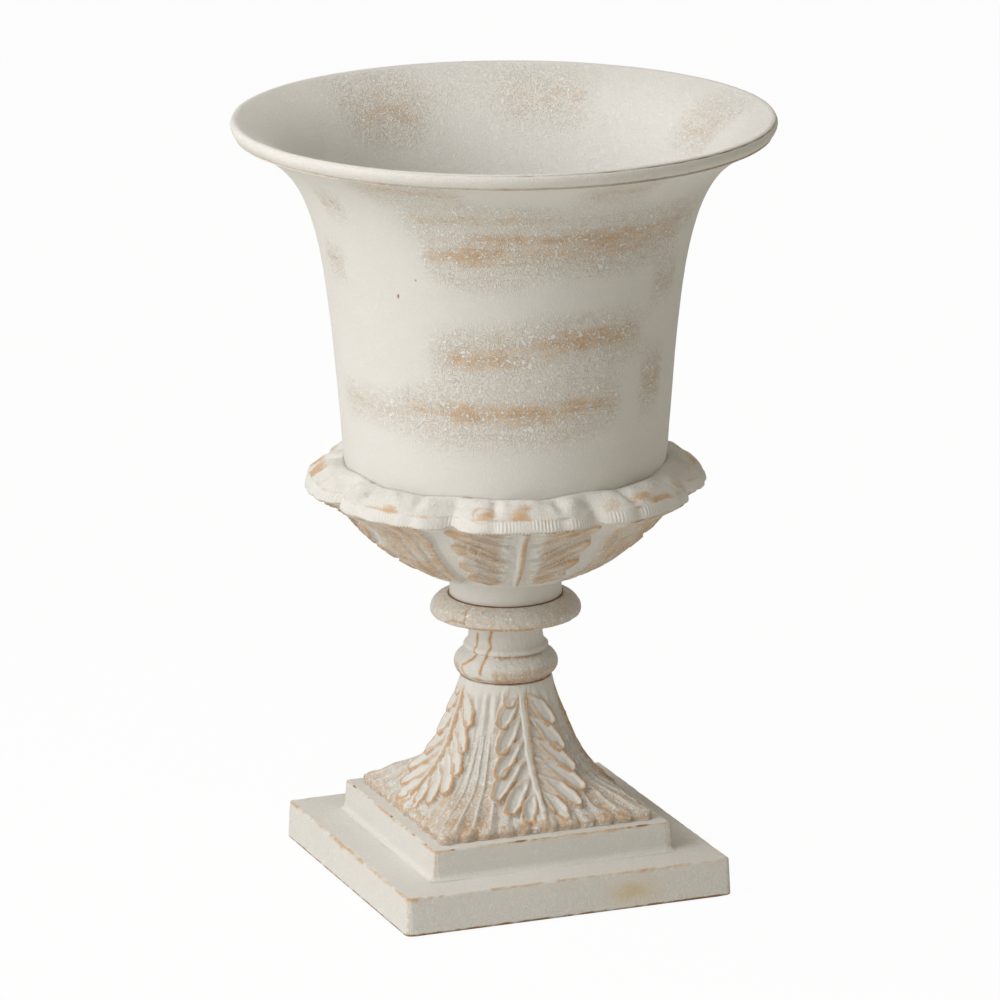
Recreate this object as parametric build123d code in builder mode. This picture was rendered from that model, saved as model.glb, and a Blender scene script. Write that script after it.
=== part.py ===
from build123d import *
from math import atan2, cos, degrees, pi, sin
import os

# Pedestal urn vase: four painted castings pulled together by a rod through their middle.
# Millimetres, +Z up, origin at the bottom centre. The plinth's sides lie along X and Y.

# Felt sheet that the vase rests on
felt_thickness = 1.0
felt_inset = 3.0

# Lower plinth, a square block with a slight draft
plinth_side = 155.0
plinth_height = 17.2
plinth_draft = 0.9
plinth_corner = 2.4
plinth_edge = 0.8

# Upper step on the plinth
step_side = 114.2
step_height = 13.3
step_draft = 0.8
step_corner = 1.2
step_edge = 0.5
step_cove = 2.2

# Acanthus flare from the square step to the round top of the foot
flare_height = 60.1
flare_top_radius = 20.2
flare_foot_half = 51.0
flare_skirt = 2.6
corner_relief = 1.6
face_relief = 1.9
rib_relief = 1.0
# Height, spread from the top radius to the foot, and corner radius, each as a share
flare_shares = (
    (1.00, 0.000, 0.98),
    (0.92, 0.014, 0.98),
    (0.80, 0.037, 0.98),
    (0.67, 0.114, 0.96),
    (0.54, 0.203, 0.90),
    (0.415, 0.315, 0.80),
    (0.315, 0.438, 0.62),
    (0.22, 0.576, 0.38),
    (0.147, 0.733, 0.20),
    (0.083, 0.900, 0.10),
    (0.00, 1.000, 0.06),
)

# Leaves on the flare, drawn in plan
face_leaf_count = 4
face_leaf_reach = 49.5
face_leaf_half_width = 19.0
face_rib_half_width = 1.3
# Distance out, distance aside and size of each finger on one side of a face leaf
face_finger_shares = (
    (0.05, 0.22, 0.15),
    (0.16, 0.42, 0.17),
    (0.31, 0.58, 0.19),
    (0.49, 0.70, 0.22),
    (0.68, 0.78, 0.24),
    (0.84, 0.53, 0.23),
    (0.88, 0.20, 0.21),
)
scallop_radius = 5.4
scallop_pitch = 10.2
scallop_count = 4

# Foot casting: wall, head and the spigot that centres the stem
casting_wall = 5.0
head_thickness = 8.0
core_foot_radius = 36.0
core_head_radius = 13.5
joint_chamfer = 0.5
spigot_height = 3.0
foot_spigot_radius = 11.0
stem_spigot_radius = 13.0

# Stem casting, heights above the foot
stem_height = 37.4
knop_bottom = 0.6
knop_top = 11.8
knop_radius = 23.6
bead_radius = 18.4
bead_height = 3.4
neck_radius = 16.7
neck_level = 18.6
disc_radius = 33.9
disc_under = 28.3
disc_edge = 2.4
disc_root_radius = 19.5
dome_share = 0.45

# Leaf cup casting, heights above the top of the stem
cup_neck_radius = 25.2
cup_neck_height = 11.6
cup_bottom_radius = 39.0
cup_bottom_rise = 0.8
cup_middle_radius = 58.0
cup_middle_height = 28.4
cup_floor_height = 16.4
collar_root_radius = 70.0
collar_root_height = 41.5
crease_radius = 73.4
crease_height = 68.0

# Bell casting, heights above the top of the stem
bell_height = 217.0
bell_wall = 4.4
bell_floor_thickness = 3.6
seat_radius = 24.0
seat_pull = 26.0
side_pull_radius = 70.0
side_pull_height = 43.0
waist_radius = 72.5
waist_height = 74.0
low_pull_radius = 79.9
low_pull_height = 174.0
high_pull_radius = 83.9
high_pull_height = 195.0
rim_radius = 120.0
rim_edge = 2.0
lip_height = 6.4
lip_draft = 0.6
lip_step = 1.4

# Leaves of the cup and its collar
leaf_count = 8
leaf_turn = -15.5
leaf_tip_radius = 89.0
leaf_valley_radius = 83.5
leaf_trim = 1.2
leaf_nose_height = 54.6
leaf_edge_height = 4.8
leaf_back_radius = 84.0
leaf_back_height = 63.5
valley_depth = 3.4
cup_relief = 2.2
cup_rib_relief = 1.0
cup_rib_half_width = 1.6
# Broad leaves of the cup take turns with narrow fluted ones, a plain band between each two
broad_leaf_half_angle = 25.5
cup_band_half_angle = 2.2
cup_band_half_width = 2.6
flute_count = 4
flute_pitch_angle = 6.6
flute_half_width = 2.1

# Rod, nuts and washers
rod_radius = 4.0
rod_tail = 4.0
thread_clearance = 0.05
bore_clearance = 0.4
seat_clearance = 0.3
nut_flats = 13.0
nut_thickness = 6.5
spring_washer_radius = 7.0
spring_washer_thickness = 1.8
spring_washer_split = 1.4
bridge_washer_radius = 12.0
bridge_washer_thickness = 2.0
top_washer_radius = 10.0
top_washer_thickness = 1.6
seal_radius = 11.5
seal_thickness = 2.0
cap_skirt_height = 8.0
cap_dome_radius = 6.0
rod_entry = 8.5

# How far a cut runs past the face that it opens
overrun = 1.0

# Levels of the stack
plinth_bottom = felt_thickness
plinth_top = plinth_bottom + plinth_height
step_top = plinth_top + step_height
flare_foot = step_top + flare_skirt
flare_top = step_top + flare_height
stem_top = flare_top + stem_height
rim_top = stem_top + bell_height
cup_floor = stem_top + cup_floor_height
bell_floor = cup_floor + bell_floor_thickness
foot_ceiling = flare_top - head_thickness
lip_bottom = rim_top - lip_height

bore_radius = rod_radius + bore_clearance
nut_bore_radius = rod_radius + thread_clearance
washer_bore_radius = rod_radius + seat_clearance

os.makedirs("parts", exist_ok=True)


def square_block(bottom, height, side, draft, corner):
    """Square block whose sides lean in by the draft."""
    with BuildPart() as block:
        with BuildSketch(Plane.XY.offset(bottom)):
            RectangleRounded(side, side, corner)
        with BuildSketch(Plane.XY.offset(bottom + height)):
            RectangleRounded(side - 2 * draft, side - 2 * draft, corner)
        loft(ruled=True)
    return block.part


def flare_solid(grow):
    """Flare from a square foot to a round top, grown outwards by the given amount."""
    with BuildPart() as flare:
        for height_share, spread_share, corner_share in flare_shares:
            level = flare_foot + height_share * (flare_top - flare_foot)
            spread = spread_share * (flare_foot_half - flare_top_radius)
            half = flare_top_radius + spread + grow
            with BuildSketch(Plane.XY.offset(level)):
                RectangleRounded(2 * half, 2 * half, corner_share * half)
        loft()
        with BuildSketch(Plane.XY.offset(step_top)):
            half = flare_foot_half + grow
            RectangleRounded(2 * half, 2 * half, flare_shares[-1][2] * half)
        extrude(amount=flare_skirt)
    return flare.part


def washer(bottom, thickness, outer_radius, inner_radius):
    """Flat ring lying at the given level."""
    with BuildPart() as ring:
        with BuildSketch(Plane.XY.offset(bottom)):
            Circle(outer_radius)
            Circle(inner_radius, mode=Mode.SUBTRACT)
        extrude(amount=thickness)
    return ring.part


# Corner leaves: fans with scalloped ends along the edges of the square
scallop_line = flare_foot_half - scallop_radius
with BuildPart() as corner_leaves:
    with BuildSketch(Plane.XY.offset(step_top)):
        inner_end = scallop_line - (scallop_count - 1) * scallop_pitch
        with PolarLocations(0, 4):
            Polygon((0, 0), (scallop_line, inner_end), (scallop_line, scallop_line),
                    (inner_end, scallop_line), align=None)
            for index in range(scallop_count):
                aside = scallop_line - index * scallop_pitch
                with Locations((scallop_line, aside), (aside, scallop_line)):
                    Circle(scallop_radius)
    extrude(amount=flare_height)
    add(flare_solid(0), mode=Mode.INTERSECT)

# Face leaves: long acanthus leaves with fingers on both sides, laid over the corner leaves
face_leaf_length = face_leaf_reach - flare_top_radius
fingers = [
    (
        flare_top_radius + out_share * face_leaf_length,
        aside_share * face_leaf_half_width,
        size_share * face_leaf_half_width,
    )
    for out_share, aside_share, size_share in face_finger_shares
]
with BuildPart() as face_leaves:
    with BuildSketch(Plane.XY.offset(step_top)):
        with PolarLocations(0, face_leaf_count):
            outline = [(0, 0)] + [(out, aside) for out, aside, size in fingers]
            mirrored = [(out, -aside) for out, aside, size in reversed(fingers)]
            Polygon(*outline, *mirrored, align=None)
            for out, aside, size in fingers:
                with Locations((out, aside), (out, -aside)):
                    Circle(size)
            with Locations((face_leaf_reach - fingers[-1][2], 0)):
                Circle(fingers[-1][2])
    extrude(amount=flare_height)
    add(flare_solid(face_relief), mode=Mode.INTERSECT)

# Midribs of the face leaves
with BuildPart() as face_ribs:
    with BuildSketch(Plane.XY.offset(step_top)):
        with PolarLocations(0, face_leaf_count):
            Rectangle(face_leaf_reach, 2 * face_rib_half_width, align=(Align.MIN, Align.CENTER))
    extrude(amount=flare_height)
    add(flare_solid(face_relief + rib_relief), mode=Mode.INTERSECT)

# Foot: plinth, step and leafed flare in one hollow casting
plinth_block = square_block(plinth_bottom, plinth_height, plinth_side, plinth_draft, plinth_corner)
step_block = square_block(plinth_top, step_height, step_side, step_draft, step_corner)
with BuildPart() as foot:
    add(plinth_block)
    fillet(foot.faces().sort_by(Axis.Z)[-1].edges(), radius=plinth_edge)
    fillet(foot.faces().sort_by(Axis.Z)[0].edges(), radius=plinth_edge)
    # Cove where the step grows out of the plinth
    with BuildSketch(Plane.XY.offset(plinth_top)):
        RectangleRounded(step_side + 2 * step_cove, step_side + 2 * step_cove, step_cove)
    with BuildSketch(Plane.XY.offset(plinth_top + step_cove)):
        RectangleRounded(step_side, step_side, step_corner)
    loft(ruled=True)
    add(step_block)
    fillet(foot.faces().sort_by(Axis.Z)[-1].edges(), radius=step_edge)
    add(flare_solid(-corner_relief))
    add(corner_leaves.part)
    add(face_leaves.part)
    add(face_ribs.part)
    # Hollow under the plinth, the step and the flare
    with BuildSketch(Plane.XY.offset(plinth_bottom)):
        RectangleRounded(plinth_side - 2 * casting_wall, plinth_side - 2 * casting_wall, plinth_corner)
    extrude(amount=plinth_height - casting_wall, mode=Mode.SUBTRACT)
    with BuildSketch(Plane.XY.offset(plinth_bottom)):
        RectangleRounded(step_side - 2 * casting_wall, step_side - 2 * casting_wall, plinth_corner)
    extrude(amount=step_top - casting_wall - plinth_bottom, mode=Mode.SUBTRACT)
    with BuildSketch(Plane.XY.offset(step_top - casting_wall)):
        Circle(core_foot_radius)
    with BuildSketch(Plane.XY.offset(foot_ceiling)):
        Circle(core_head_radius)
    loft(ruled=True, mode=Mode.SUBTRACT)
    # Spigot for the stem and the hole for the rod
    with BuildSketch(Plane.XY.offset(flare_top)):
        Circle(foot_spigot_radius)
    extrude(amount=spigot_height - seat_clearance)
    with BuildSketch(Plane.XY.offset(foot_ceiling)):
        Circle(bore_radius)
    extrude(amount=head_thickness + spigot_height, mode=Mode.SUBTRACT)
foot.part.label = "foot"
export_step(foot.part, "parts/foot.step")

# Stem: knop, bead, narrow neck and rolled disc, turned in one profile
under_level = flare_top + disc_under
edge_level = under_level + disc_edge
with BuildPart() as stem:
    with BuildSketch(Plane.XZ) as stem_section:
        with BuildLine():
            base_line = Line((bore_radius, flare_top), (flare_top_radius - joint_chamfer, flare_top))
            Line(base_line @ 1, (flare_top_radius, flare_top + joint_chamfer))
            Line((flare_top_radius, flare_top + joint_chamfer), (flare_top_radius, flare_top + knop_bottom))
            ThreePointArc(
                (flare_top_radius, flare_top + knop_bottom),
                (knop_radius, flare_top + (knop_bottom + knop_top) / 2),
                (bead_radius, flare_top + knop_top),
            )
            bead_top = flare_top + knop_top + bead_height
            ThreePointArc(
                (bead_radius, flare_top + knop_top),
                (bead_radius + bead_height / 4, flare_top + knop_top + bead_height / 2),
                (bead_radius - bead_height / 4, bead_top),
            )
            Bezier(
                (bead_radius - bead_height / 4, bead_top),
                (neck_radius, bead_top + bead_height),
                (neck_radius, flare_top + neck_level),
                (neck_radius, flare_top + (neck_level + disc_under) / 2),
            )
            Bezier(
                (neck_radius, flare_top + (neck_level + disc_under) / 2),
                (neck_radius, under_level),
                (disc_root_radius, under_level),
            )
            # Flat underside, round edge and domed top of the disc
            Line((disc_root_radius, under_level), (disc_radius - disc_edge, under_level))
            Bezier(
                (disc_radius - disc_edge, under_level),
                (disc_radius, under_level),
                (disc_radius, edge_level),
            )
            Bezier(
                (disc_radius, edge_level),
                (disc_radius, edge_level + dome_share * (stem_top - edge_level)),
                (disc_radius - dome_share * (disc_radius - cup_neck_radius), stem_top),
                (cup_neck_radius, stem_top),
            )
            Line((cup_neck_radius, stem_top), (bore_radius, stem_top))
            Line((bore_radius, stem_top), base_line @ 0)
        make_face()
    revolve(axis=Axis.Z)
    # Recess for the foot's spigot, and the spigot that the cup sits on
    with BuildSketch(Plane.XY.offset(flare_top)):
        Circle(foot_spigot_radius + seat_clearance)
        Circle(bore_radius, mode=Mode.SUBTRACT)
    extrude(amount=spigot_height, mode=Mode.SUBTRACT)
    with BuildSketch(Plane.XY.offset(stem_top)):
        Circle(stem_spigot_radius)
        Circle(bore_radius, mode=Mode.SUBTRACT)
    extrude(amount=spigot_height - seat_clearance)
stem.part.label = "stem"
export_step(stem.part, "parts/stem.step")


def cup_profile(grow):
    """Outside of the leaf cup from the neck up to the root of the collar, grown outwards."""
    return [
        (cup_bottom_radius + grow, stem_top + cup_neck_height + cup_bottom_rise - grow / 2),
        (cup_middle_radius + grow, stem_top + cup_middle_height - grow / 2),
        (collar_root_radius + grow, stem_top + collar_root_height),
    ]


def cup_shell(grow):
    """Turned skin of the cup that runs on up into the collar, grown outwards."""
    bottom, middle, top = cup_profile(grow)
    shell_top = top[1] + leaf_edge_height
    with BuildPart() as shell:
        with BuildSketch(Plane.XZ):
            with BuildLine():
                Line((seat_radius, bottom[1]), bottom)
                ThreePointArc(bottom, middle, top)
                Line(top, (top[0], shell_top))
                Line((top[0], shell_top), (seat_radius, shell_top))
                Line((seat_radius, shell_top), (seat_radius, bottom[1]))
            make_face()
        revolve(axis=Axis.Z)
    return shell.part


# Leaf bodies on the cup, with plain bands between them
first_leaf = -90 + leaf_turn
pair_count = leaf_count // 2
band_angle = broad_leaf_half_angle + cup_band_half_angle
with BuildPart() as cup_leaves:
    with BuildSketch(Plane.XY.offset(stem_top)):
        Circle(leaf_tip_radius)
        for side in (-1, 1):
            with PolarLocations(0, pair_count, start_angle=first_leaf + side * band_angle):
                Rectangle(leaf_tip_radius, 2 * cup_band_half_width, align=(Align.MIN, Align.CENTER),
                          mode=Mode.SUBTRACT)
    extrude(amount=crease_height)
    add(cup_shell(cup_relief), mode=Mode.INTERSECT)

# Midribs of the broad leaves and flutes of the narrow ones
narrow_leaf = first_leaf + 180 / pair_count
with BuildPart() as cup_ribs:
    with BuildSketch(Plane.XY.offset(stem_top)):
        with PolarLocations(0, pair_count, start_angle=first_leaf):
            Rectangle(leaf_tip_radius, 2 * cup_rib_half_width, align=(Align.MIN, Align.CENTER))
        for index in range(flute_count):
            flute_angle = narrow_leaf + (index - (flute_count - 1) / 2) * flute_pitch_angle
            with PolarLocations(0, pair_count, start_angle=flute_angle):
                Rectangle(leaf_tip_radius, 2 * flute_half_width, align=(Align.MIN, Align.CENTER))
    extrude(amount=crease_height)
    add(cup_shell(cup_relief + cup_rib_relief), mode=Mode.INTERSECT)

# Collar: a turned lip cut to a plan of eight broad lobes
half_pitch = pi / leaf_count
lobe_sagitta = leaf_tip_radius - leaf_valley_radius * cos(half_pitch)
lobe_chord_half = leaf_valley_radius * sin(half_pitch)
lobe_radius = (lobe_chord_half**2 + lobe_sagitta**2) / (2 * lobe_sagitta)
crease_level = stem_top + crease_height
nose_level = stem_top + leaf_nose_height
root_level = stem_top + collar_root_height
edge_low_level = nose_level - leaf_edge_height
edge_radius = leaf_tip_radius + leaf_trim
# The leaves' backs start inside the wall of the bell and are cut back to it
buried_radius = waist_radius - bell_wall / 2
buried_level = crease_level + bell_wall
first_valley = first_leaf + 180 / leaf_count
with BuildPart() as collar:
    with BuildSketch(Plane.XZ):
        with BuildLine():
            Line((seat_radius, buried_level), (buried_radius, buried_level))
            Bezier(
                (buried_radius, buried_level),
                (crease_radius, stem_top + leaf_back_height),
                (leaf_back_radius, stem_top + leaf_back_height),
                (edge_radius, nose_level),
            )
            Line((edge_radius, nose_level), (edge_radius, edge_low_level))
            Line((edge_radius, edge_low_level), (collar_root_radius, root_level))
            Line((collar_root_radius, root_level), (seat_radius, root_level))
            Line((seat_radius, root_level), (seat_radius, buried_level))
        make_face()
    revolve(axis=Axis.Z)
    with BuildSketch(Plane.XY.offset(root_level)):
        with PolarLocations(leaf_tip_radius - lobe_radius, leaf_count, start_angle=first_leaf):
            Circle(lobe_radius)
    extrude(amount=crease_height, mode=Mode.INTERSECT)
    # Furrow between each leaf and the next
    valley_rise = stem_top + leaf_back_height - nose_level
    furrow_drop = crease_level - nose_level - valley_rise / 2
    furrow_slope = degrees(atan2(furrow_drop, leaf_valley_radius - crease_radius))
    with PolarLocations(0, leaf_count, start_angle=first_valley):
        with Locations((crease_radius, 0, crease_level)):
            Cylinder(valley_depth, leaf_valley_radius, rotation=(0, 90 + furrow_slope, 0),
                     align=(Align.CENTER, Align.CENTER, Align.MIN), mode=Mode.SUBTRACT)

# Leaf cup: neck, leaves and collar in one casting, hollowed to take the bell's round bottom
cup_bottom, cup_middle, cup_top = cup_profile(0)
waist_level = stem_top + waist_height
side_pull_level = stem_top + side_pull_height
with BuildPart() as leaf_cup:
    with BuildSketch(Plane.XZ):
        with BuildLine():
            Line((0, stem_top), (cup_neck_radius - joint_chamfer, stem_top))
            Line((cup_neck_radius - joint_chamfer, stem_top), (cup_neck_radius, stem_top + joint_chamfer))
            Line((cup_neck_radius, stem_top + joint_chamfer), (cup_neck_radius, stem_top + cup_neck_height))
            Line((cup_neck_radius, stem_top + cup_neck_height), cup_bottom)
            ThreePointArc(cup_bottom, cup_middle, cup_top)
            Line(cup_top, (collar_root_radius, nose_level))
            Line((collar_root_radius, nose_level), (0, nose_level))
            Line((0, nose_level), (0, stem_top))
        make_face()
    revolve(axis=Axis.Z)
    add(collar.part)
    add(cup_leaves.part)
    add(cup_ribs.part)
    # Seat of the bell
    with BuildSketch(Plane.XZ):
        with BuildLine():
            Line((0, cup_floor), (seat_radius + seat_clearance, cup_floor))
            Bezier(
                (seat_radius + seat_clearance, cup_floor),
                (seat_radius + seat_pull + seat_clearance, cup_floor),
                (side_pull_radius + seat_clearance, side_pull_level),
                (waist_radius + seat_clearance, waist_level),
            )
            Line((waist_radius + seat_clearance, waist_level), (0, waist_level))
            Line((0, waist_level), (0, cup_floor))
        make_face()
    revolve(axis=Axis.Z, mode=Mode.SUBTRACT)
    # Recess over the stem's spigot and the hole for the rod
    with BuildSketch(Plane.XY.offset(stem_top)):
        Circle(stem_spigot_radius + seat_clearance)
    extrude(amount=spigot_height, mode=Mode.SUBTRACT)
    with BuildSketch(Plane.XY.offset(stem_top)):
        Circle(bore_radius)
    extrude(amount=cup_floor_height + overrun, mode=Mode.SUBTRACT)
leaf_cup.part.label = "leaf_cup"
export_step(leaf_cup.part, "parts/leaf_cup.step")

# Bell: flared vessel with a rolled lip and a round bottom
lip_under_radius = rim_radius - lip_draft - lip_step
inner_waist_radius = waist_radius - bell_wall
mouth_radius = rim_radius - rim_edge
with BuildPart() as bell:
    with BuildSketch(Plane.XZ):
        with BuildLine():
            Line((bore_radius, cup_floor), (seat_radius, cup_floor))
            Bezier(
                (seat_radius, cup_floor),
                (seat_radius + seat_pull, cup_floor),
                (side_pull_radius, side_pull_level),
                (waist_radius, waist_level),
            )
            Bezier(
                (waist_radius, waist_level),
                (low_pull_radius, stem_top + low_pull_height),
                (high_pull_radius, stem_top + high_pull_height),
                (lip_under_radius, lip_bottom - lip_step / 2),
            )
            Line((lip_under_radius, lip_bottom - lip_step / 2), (rim_radius - lip_draft, lip_bottom))
            Line((rim_radius - lip_draft, lip_bottom), (rim_radius, rim_top - joint_chamfer))
            Line((rim_radius, rim_top - joint_chamfer), (rim_radius - joint_chamfer, rim_top))
            Line((rim_radius - joint_chamfer, rim_top), (mouth_radius, rim_top))
            Bezier(
                (mouth_radius, rim_top),
                (high_pull_radius - bell_wall, stem_top + high_pull_height + lip_height),
                (low_pull_radius - bell_wall, stem_top + low_pull_height),
                (inner_waist_radius, waist_level),
            )
            Bezier(
                (inner_waist_radius, waist_level),
                (side_pull_radius - bell_wall, side_pull_level),
                (seat_radius + seat_pull, bell_floor),
                (seat_radius, bell_floor),
            )
            Line((seat_radius, bell_floor), (bore_radius, bell_floor))
            Line((bore_radius, bell_floor), (bore_radius, cup_floor))
        make_face()
    revolve(axis=Axis.Z)
bell.part.label = "bell"
export_step(bell.part, "parts/bell.step")

# Seal and washer on the floor of the bell
sealing_washer = washer(bell_floor, seal_thickness, seal_radius, washer_bore_radius)
sealing_washer.label = "sealing_washer"
export_step(sealing_washer, "parts/sealing_washer.step")

top_washer_bottom = bell_floor + seal_thickness
top_washer = washer(top_washer_bottom, top_washer_thickness, top_washer_radius, washer_bore_radius)
top_washer.label = "top_washer"
export_step(top_washer, "parts/top_washer.step")

# Domed nut that closes the upper end of the rod
cap_nut_bottom = top_washer_bottom + top_washer_thickness
with BuildPart() as cap_nut:
    with BuildSketch(Plane.XY.offset(cap_nut_bottom)):
        RegularPolygon(nut_flats / 2, 6, major_radius=False)
    extrude(amount=cap_skirt_height)
    with BuildSketch(Plane.XZ):
        with BuildLine():
            dome_centre = (0, cap_nut_bottom + cap_skirt_height)
            crown = CenterArc(dome_centre, cap_dome_radius, 0, 90)
            Line(crown @ 1, dome_centre)
            Line(dome_centre, crown @ 0)
        make_face()
    revolve(axis=Axis.Z)
    with BuildSketch(Plane.XY.offset(cap_nut_bottom)):
        Circle(nut_bore_radius)
    extrude(amount=rod_entry + seat_clearance, mode=Mode.SUBTRACT)
cap_nut.part.label = "cap_nut"
export_step(cap_nut.part, "parts/cap_nut.step")

# Washers and nut under the ceiling of the hollow foot
bridge_washer_bottom = foot_ceiling - bridge_washer_thickness
bridge_washer = washer(
    bridge_washer_bottom, bridge_washer_thickness, bridge_washer_radius, washer_bore_radius
)
bridge_washer.label = "bridge_washer"
export_step(bridge_washer, "parts/bridge_washer.step")

spring_washer_bottom = bridge_washer_bottom - spring_washer_thickness
with BuildPart() as spring_washer:
    add(washer(spring_washer_bottom, spring_washer_thickness, spring_washer_radius, washer_bore_radius))
    with BuildSketch(Plane.XY.offset(spring_washer_bottom)):
        Rectangle(spring_washer_radius + overrun, spring_washer_split, align=(Align.MIN, Align.CENTER))
    extrude(amount=spring_washer_thickness, mode=Mode.SUBTRACT)
spring_washer.part.label = "spring_washer"
export_step(spring_washer.part, "parts/spring_washer.step")

hex_nut_bottom = spring_washer_bottom - nut_thickness
with BuildPart() as hex_nut:
    with BuildSketch(Plane.XY.offset(hex_nut_bottom)):
        RegularPolygon(nut_flats / 2, 6, major_radius=False)
        Circle(nut_bore_radius, mode=Mode.SUBTRACT)
    extrude(amount=nut_thickness)
hex_nut.part.label = "hex_nut"
export_step(hex_nut.part, "parts/hex_nut.step")

# Rod through all four castings
rod_bottom = hex_nut_bottom - rod_tail
with BuildPart() as tie_rod:
    with BuildSketch(Plane.XY.offset(rod_bottom)):
        Circle(rod_radius)
    extrude(amount=cap_nut_bottom + rod_entry - rod_bottom)
tie_rod.part.label = "tie_rod"
export_step(tie_rod.part, "parts/tie_rod.step")

# Felt that closes the hollow foot
felt_side = plinth_side - 2 * felt_inset
with BuildPart() as base_felt:
    with BuildSketch(Plane.XY):
        RectangleRounded(felt_side, felt_side, plinth_corner)
    extrude(amount=felt_thickness)
base_felt.part.label = "base_felt"
export_step(base_felt.part, "parts/base_felt.step")
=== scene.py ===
from math import cos, pi, radians, sin

import bmesh
import bpy
import numpy as np
from mathutils import Matrix, Vector


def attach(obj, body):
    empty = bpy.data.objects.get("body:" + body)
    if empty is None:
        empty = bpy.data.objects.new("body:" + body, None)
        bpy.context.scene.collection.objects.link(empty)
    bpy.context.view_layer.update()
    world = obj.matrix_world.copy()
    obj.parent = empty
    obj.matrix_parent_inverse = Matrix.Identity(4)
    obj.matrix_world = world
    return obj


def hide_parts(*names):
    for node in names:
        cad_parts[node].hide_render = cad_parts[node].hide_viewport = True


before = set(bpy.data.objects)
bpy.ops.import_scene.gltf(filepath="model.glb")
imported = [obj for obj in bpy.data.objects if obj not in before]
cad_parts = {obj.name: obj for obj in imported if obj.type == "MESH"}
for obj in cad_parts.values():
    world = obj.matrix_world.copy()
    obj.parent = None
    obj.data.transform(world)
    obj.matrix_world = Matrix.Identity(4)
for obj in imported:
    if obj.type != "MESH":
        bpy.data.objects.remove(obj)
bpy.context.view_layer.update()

# Bell: the flared vessel, cast in one piece with walls of about 4 mm and smoothed by hand outside.
# Painted tan, washed over with white and rubbed back, it stands in the leaf cup on a rod.
# Sizes are in millimetres. Turns are in degrees, and count from the side that the photo shows.
mm = 0.001
touching = 1e-6
front = -111.465
bore = 4.4
bell_steps = 512


def curve(start, pull_a, pull_b, end, count):
    """Points of a cubic curve through its two ends, drawn by its two pulls."""
    t = np.linspace(0, 1, count)[:, None]
    start, pull_a, pull_b, end = (np.array(p, float) for p in (start, pull_a, pull_b, end))
    return ((1 - t) ** 3 * start + 3 * (1 - t) ** 2 * t * pull_a
            + 3 * (1 - t) * t * t * pull_b + t ** 3 * end)


def run(*stretches):
    """Joins stretches of an outline and drops points that repeat the one before."""
    joined = [np.array(p, float) for stretch in stretches for p in stretch]
    kept = [joined[0]]
    for point in joined[1:]:
        if np.hypot(*(point - kept[-1])) > 1e-3:
            kept.append(point)
    return kept


def all_of(made):
    """Everything that a bmesh holds."""
    return made.verts[:] + made.edges[:] + made.faces[:]


def piece_from(made, name):
    """Turns a bmesh into a piece at the origin and puts it in the scene."""
    mesh = bpy.data.meshes.new(name)
    made.to_mesh(mesh)
    made.free()
    piece = bpy.data.objects.new(name, mesh)
    bpy.context.scene.collection.objects.link(piece)
    return piece


def turned(name, outline, steps):
    """Spins a closed outline round the axis, and keeps each vertex's place on it. One part in
    thirty-two is spun and then doubled five times, which is far quicker than a full spin."""
    doublings = 5
    part_turn = 2 * pi / 2 ** doublings
    made = bmesh.new()
    ring = made.verts.layers.int.new("ring")
    corners = [made.verts.new((r * mm, 0, z * mm)) for r, z in outline]
    for index, corner in enumerate(corners):
        corner[ring] = index
    sides = [made.edges.new((corners[i - 1], corners[i])) for i in range(len(corners))]
    bmesh.ops.spin(made, geom=corners + sides, cent=(0, 0, 0), axis=(0, 0, 1), dvec=(0, 0, 0),
                   angle=part_turn, steps=steps // 2 ** doublings, use_merge=False,
                   use_duplicate=False)
    for doubling in range(doublings):
        copied = bmesh.ops.duplicate(made, geom=all_of(made))["geom"]
        bmesh.ops.rotate(made, verts=[g for g in copied if isinstance(g, bmesh.types.BMVert)],
                         cent=(0, 0, 0), matrix=Matrix.Rotation(part_turn * 2 ** doubling, 3, "Z"))
    bmesh.ops.remove_doubles(made, verts=made.verts, dist=touching)
    bmesh.ops.recalc_face_normals(made, faces=made.faces)
    piece = piece_from(made, name)
    piece.data.shade_smooth()
    return piece


def places_of(piece):
    """Vertex places in millimetres."""
    flat = np.empty(len(piece.data.vertices) * 3, np.float32)
    piece.data.vertices.foreach_get("co", flat)
    return flat.reshape(-1, 3).astype(float) / mm


def rings_of(piece):
    """Place of each vertex on the outline that was spun."""
    index = np.empty(len(piece.data.vertices), np.int32)
    piece.data.attributes["ring"].data.foreach_get("value", index)
    piece.data.attributes.remove(piece.data.attributes["ring"])
    return index


def wrapped(angle):
    """Angle between -180 and 180."""
    return (angle + 180) % 360 - 180


def about_axis(spot):
    """Distance from the axis, direction round it, and that direction counted from the front."""
    azimuth = np.degrees(np.arctan2(spot[:, 1], spot[:, 0]))
    return np.hypot(spot[:, 0], spot[:, 1]), azimuth, wrapped(azimuth - front)


def fade(value, low, high):
    """Smooth step from 0 at low to 1 at high."""
    t = np.clip((value - low) / (high - low), 0, 1)
    return t * t * (3 - 2 * t)


def between(value, low, high):
    """Whether a value lies between two others or on them."""
    return (value >= low) & (value <= high)


def mound(value, middle, width):
    """1 at the middle, a third at the width and nothing soon after."""
    return np.exp(-((value - middle) / width) ** 2)


def uneven(places, size, seed):
    """Soft waves through space, about the given size, mostly between -1 and 1."""
    draw = np.random.default_rng(seed)
    total = np.zeros(len(places))
    for count in range(7):
        way = draw.normal(size=3)
        way *= 2 * pi / (size * draw.uniform(0.7, 1.6)) / np.linalg.norm(way)
        total += np.sin(places @ way + draw.uniform(0, 2 * pi))
    return total / 4


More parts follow.
